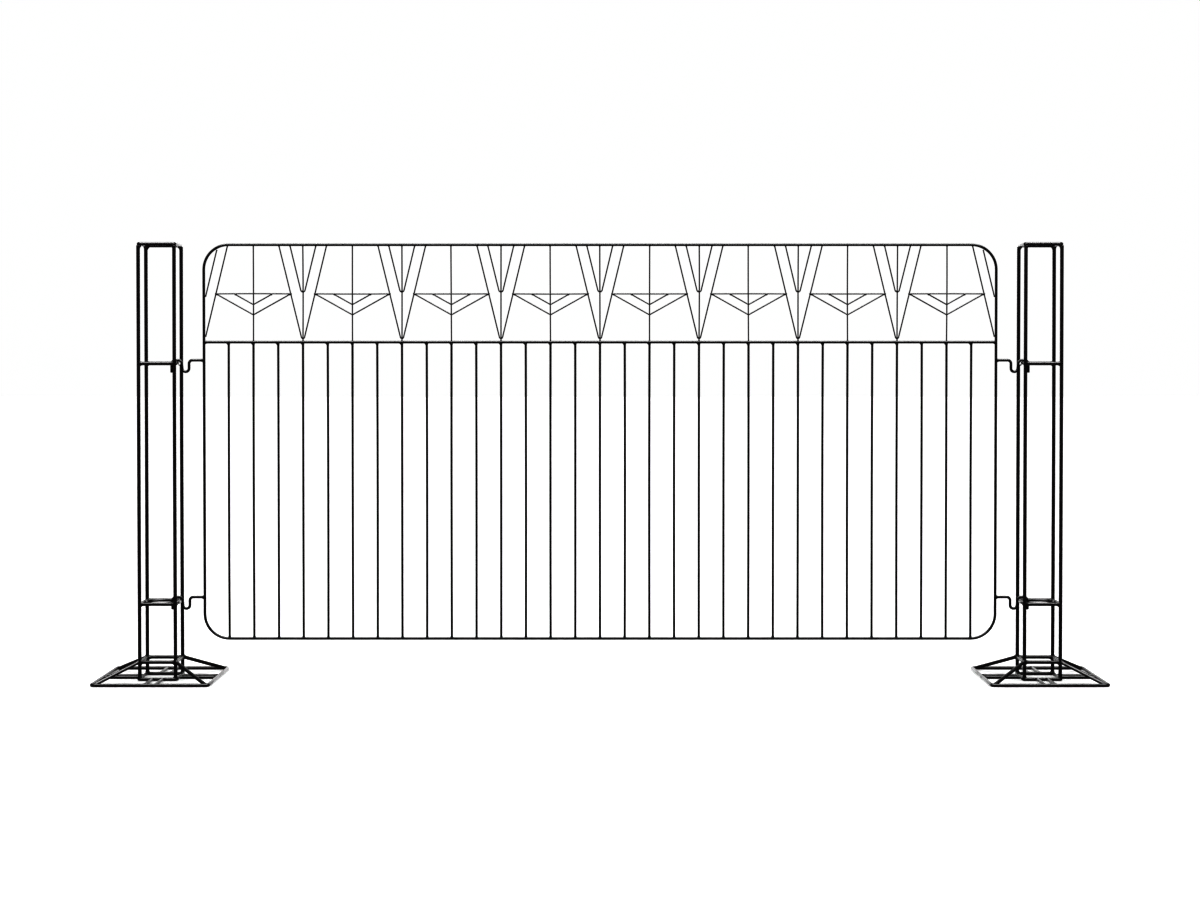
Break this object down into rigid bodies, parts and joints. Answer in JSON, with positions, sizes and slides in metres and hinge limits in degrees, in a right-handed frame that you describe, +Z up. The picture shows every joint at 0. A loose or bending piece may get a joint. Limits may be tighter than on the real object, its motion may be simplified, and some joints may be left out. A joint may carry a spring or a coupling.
{
  "type": "crowd control barricade",
  "caption": "Free-standing welded-rod barricade: a picket panel with a patterned frieze hooks at both ends onto square wire posts with wide feet.",
  "frame": {"origin": "middle of the footprint on the floor, under the middle of the panel", "axes": "+X along the panel, +Y through the panel away from the viewer, +Z up"},
  "size_m": [2.296, 0.27, 1.004],
  "materials": {
    "panel_coat": "semi-gloss black powder coat over 6 and 5 mm steel rod",
    "frieze_wire_coat": "semi-gloss black powder coat over drawn 2.8 mm steel wire, thinner on the crossings",
    "hook_coat": "black powder coat rubbed thin where the crown bears on the rail",
    "post_coat": "glossy black powder coat over 8 mm steel rod",
    "foot_coat": "glossy black powder coat, scuffed and dusty along the floor"
  },
  "bodies": {
    "panel": {"panel_hoop": "panel_coat", "mid_rail": "panel_coat", "picket_01": "panel_coat", "picket_02": "panel_coat", "picket_03": "panel_coat", "picket_04": "panel_coat", "picket_05": "panel_coat", "picket_06": "panel_coat", "picket_07": "panel_coat", "picket_08": "panel_coat", "picket_09": "panel_coat", "picket_10": "panel_coat", "picket_11": "panel_coat", "picket_12": "panel_coat", "picket_13": "panel_coat", "picket_14": "panel_coat", "picket_15": "panel_coat", "picket_16": "panel_coat", "picket_17": "panel_coat", "picket_18": "panel_coat", "picket_19": "panel_coat", "picket_20": "panel_coat", "picket_21": "panel_coat", "picket_22": "panel_coat", "picket_23": "panel_coat", "picket_24": "panel_coat", "picket_25": "panel_coat", "picket_26": "panel_coat", "picket_27": "panel_coat", "picket_28": "panel_coat", "picket_29": "panel_coat", "picket_30": "panel_coat", "picket_31": "panel_coat", "frieze_lattice": "frieze_wire_coat", "end_wire_left": "frieze_wire_coat", "end_wire_right": "frieze_wire_coat", "hook_upper_left": "hook_coat", "hook_upper_right": "hook_coat", "hook_lower_left": "hook_coat", "hook_lower_right": "hook_coat"},
    "left_post": {"left_leg_front_inner": "post_coat", "left_leg_front_outer": "post_coat", "left_leg_back_inner": "post_coat", "left_leg_back_outer": "post_coat", "left_top_ring": "post_coat", "left_upper_hook_ring": "post_coat", "left_lower_hook_ring": "post_coat", "left_collar": "post_coat", "left_base_ring": "foot_coat", "left_foot_frame": "foot_coat"},
    "right_post": {"right_leg_front_inner": "post_coat", "right_leg_front_outer": "post_coat", "right_leg_back_inner": "post_coat", "right_leg_back_outer": "post_coat", "right_top_ring": "post_coat", "right_upper_hook_ring": "post_coat", "right_lower_hook_ring": "post_coat", "right_collar": "post_coat", "right_base_ring": "foot_coat", "right_foot_frame": "foot_coat"}
  },
  "joints": [
    {"name": "left_post_swing", "type": "hinge", "parent": "panel", "child": "left_post", "pos_m": [-0.972, 0, 0.45], "axis": [0, 0, 1], "range_deg": [-15, 15]},
    {"name": "right_post_swing", "type": "hinge", "parent": "panel", "child": "right_post", "pos_m": [0.972, 0, 0.45], "axis": [0, 0, 1], "range_deg": [-15, 15]}
  ]
}
